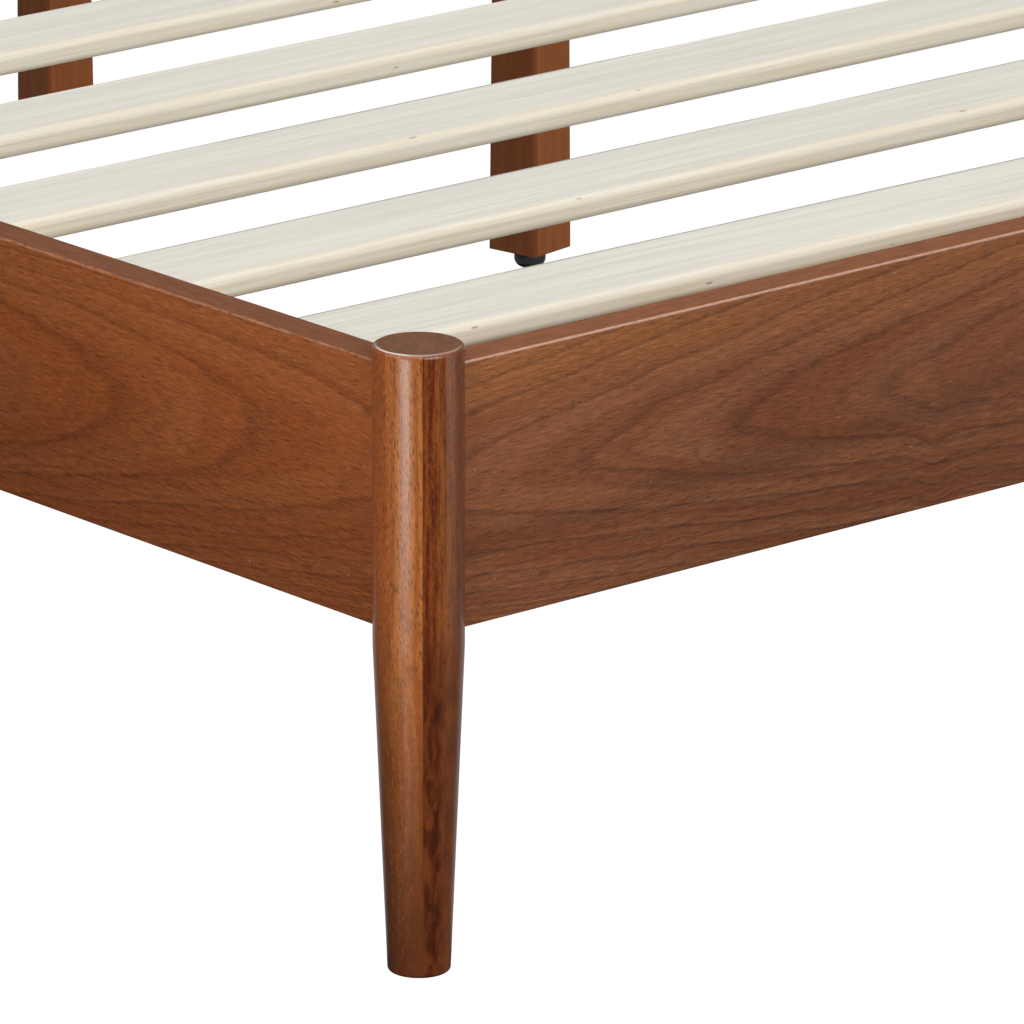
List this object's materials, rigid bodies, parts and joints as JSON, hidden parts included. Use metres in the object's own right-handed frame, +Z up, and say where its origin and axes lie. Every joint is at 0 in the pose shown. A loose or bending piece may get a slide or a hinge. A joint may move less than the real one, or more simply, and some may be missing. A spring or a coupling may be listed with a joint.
{
  "type": "bed frame",
  "caption": "Low wooden platform bed frame with round tapered posts, side and end rails, spaced cross slats and a centre beam on adjustable support legs.",
  "frame": {"origin": "on the floor under the middle of the bed", "axes": "+X across the bed along the slats, +Y along the bed from its foot end to its head end, +Z up"},
  "size_m": [2.026, 2.15, 0.355],
  "materials": {
    "stained_wood": "walnut brown stain under satin lacquer",
    "leg_wood": "dark brown stain, matte",
    "frame_wood": "planed and unfinished",
    "slat_wood": "pale wood, planed, with rounded edges, unfinished",
    "zinc_steel": "zinc plated",
    "glide_plastic": "black moulded plastic"
  },
  "bodies": {
    "frame": {"post_foot_left": "stained_wood", "post_foot_right": "stained_wood", "post_head_left": "stained_wood", "post_head_right": "stained_wood", "side_rail_left": "stained_wood", "side_rail_right": "stained_wood", "foot_rail": "stained_wood", "head_rail": "stained_wood", "ledger_left": "frame_wood", "ledger_right": "frame_wood", "beam_bracket_foot": "zinc_steel", "beam_bracket_head": "zinc_steel", "slat_01": "slat_wood", "slat_02": "slat_wood", "slat_03": "slat_wood", "slat_04": "slat_wood", "slat_05": "slat_wood", "slat_06": "slat_wood", "slat_07": "slat_wood", "slat_08": "slat_wood", "slat_09": "slat_wood", "slat_10": "slat_wood", "slat_11": "slat_wood", "slat_12": "slat_wood", "slat_13": "slat_wood", "centre_beam": "frame_wood", "support_leg_foot": "leg_wood", "support_leg_middle": "leg_wood", "support_leg_head": "leg_wood", "joint_studs": "zinc_steel", "joint_inserts": "zinc_steel", "crescent_washers": "zinc_steel", "joint_nuts": "zinc_steel", "rail_dowels": "frame_wood", "ledger_screws": "zinc_steel", "slat_screws": "zinc_steel", "bracket_screws": "zinc_steel", "leg_hanger_bolts": "zinc_steel", "leg_inserts": "zinc_steel", "glide_tee_nuts": "zinc_steel"},
    "glide_foot": {"glide_pad_foot": "glide_plastic", "glide_stem_foot": "zinc_steel"},
    "glide_middle": {"glide_pad_middle": "glide_plastic", "glide_stem_middle": "zinc_steel"},
    "glide_head": {"glide_pad_head": "glide_plastic", "glide_stem_head": "zinc_steel"}
  },
  "joints": [
    {"name": "glide_foot_adjust", "type": "slide", "parent": "frame", "child": "glide_foot", "axis": [0, 0, 1], "range_m": [-0.01, 0.003]},
    {"name": "glide_middle_adjust", "type": "slide", "parent": "frame", "child": "glide_middle", "axis": [0, 0, 1], "range_m": [-0.01, 0.003]},
    {"name": "glide_head_adjust", "type": "slide", "parent": "frame", "child": "glide_head", "axis": [0, 0, 1], "range_m": [-0.01, 0.003]}
  ]
}
